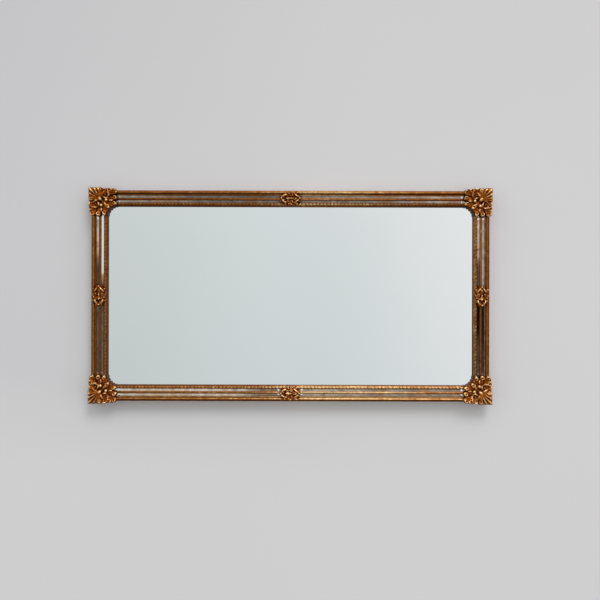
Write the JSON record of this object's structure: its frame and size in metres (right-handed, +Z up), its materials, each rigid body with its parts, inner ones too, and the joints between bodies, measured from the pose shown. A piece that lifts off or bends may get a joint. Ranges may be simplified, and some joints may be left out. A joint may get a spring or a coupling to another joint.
{
  "type": "overmantel mirror",
  "caption": "Wide rectangular overmantel mirror in a gilt frame inlaid with antiqued mirror strips, with cast shell corners and centre cartouches, hung by hinged rings on its back.",
  "frame": {"origin": "centre of the back panel's rear face", "axes": "+X right as seen from the front, +Y back towards the wall, +Z up; the mirror faces -Y"},
  "size_m": [1.3676, 0.0534, 0.7336],
  "materials": {
    "gilt_wood": "water gilt, rubbed and toned",
    "gilt_casting": "gilded cast composition, toned in the hollows",
    "antiqued_glass": "foxed and clouded silvering",
    "silvered_glass": "clear silvered plate",
    "timber": "planed softwood",
    "hardwood": "planed hardwood",
    "hardboard": "smooth brown hardboard",
    "brass_screws": "turned brass",
    "zinc_steel": "zinc plated steel",
    "rubber": "moulded rubber"
  },
  "bodies": {
    "frame": {"top_rail": "gilt_wood", "right_rail": "gilt_wood", "bottom_rail": "gilt_wood", "left_rail": "gilt_wood", "top_left_mitre_key": "hardwood", "top_right_mitre_key": "hardwood", "bottom_right_mitre_key": "hardwood", "bottom_left_mitre_key": "hardwood", "top_outer_strip_1": "antiqued_glass", "top_outer_strip_2": "antiqued_glass", "top_inner_strip_1": "antiqued_glass", "top_inner_strip_2": "antiqued_glass", "top_centre_bead": "gilt_wood", "right_outer_strip_1": "antiqued_glass", "right_outer_strip_2": "antiqued_glass", "right_inner_strip_1": "antiqued_glass", "right_inner_strip_2": "antiqued_glass", "right_centre_bead": "gilt_wood", "bottom_outer_strip_1": "antiqued_glass", "bottom_outer_strip_2": "antiqued_glass", "bottom_inner_strip_1": "antiqued_glass", "bottom_inner_strip_2": "antiqued_glass", "bottom_centre_bead": "gilt_wood", "left_outer_strip_1": "antiqued_glass", "left_outer_strip_2": "antiqued_glass", "left_inner_strip_1": "antiqued_glass", "left_inner_strip_2": "antiqued_glass", "left_centre_bead": "gilt_wood", "mirror_plate": "silvered_glass", "top_retaining_fillet": "timber", "right_retaining_fillet": "timber", "bottom_retaining_fillet": "timber", "left_retaining_fillet": "timber", "back_panel": "hardboard", "panel_screw_1": "brass_screws", "panel_screw_2": "brass_screws", "panel_screw_3": "brass_screws", "panel_screw_4": "brass_screws", "panel_screw_5": "brass_screws", "panel_screw_6": "brass_screws", "panel_screw_7": "brass_screws", "panel_screw_8": "brass_screws", "left_strap_screw_1": "zinc_steel", "left_strap_screw_2": "zinc_steel", "right_strap_screw_1": "zinc_steel", "right_strap_screw_2": "zinc_steel", "left_hanger_strap": "zinc_steel", "right_hanger_strap": "zinc_steel", "left_bumper": "rubber", "right_bumper": "rubber", "top_left_corner_ornament": "gilt_casting", "top_right_corner_ornament": "gilt_casting", "bottom_right_corner_ornament": "gilt_casting", "bottom_left_corner_ornament": "gilt_casting", "top_cartouche": "gilt_casting", "right_cartouche": "gilt_casting", "bottom_cartouche": "gilt_casting", "left_cartouche": "gilt_casting"},
    "left_ring": {"left_hanging_ring": "zinc_steel"},
    "right_ring": {"right_hanging_ring": "zinc_steel"}
  },
  "joints": [
    {"name": "left_ring_swing", "type": "hinge", "parent": "frame", "child": "left_ring", "pos_m": [-0.6565, -0.0006, 0.19], "axis": [1, 0, 0], "range_deg": [0, 180]},
    {"name": "right_ring_swing", "type": "hinge", "parent": "frame", "child": "right_ring", "pos_m": [0.6565, -0.0006, 0.19], "axis": [1, 0, 0], "range_deg": [0, 180]}
  ]
}
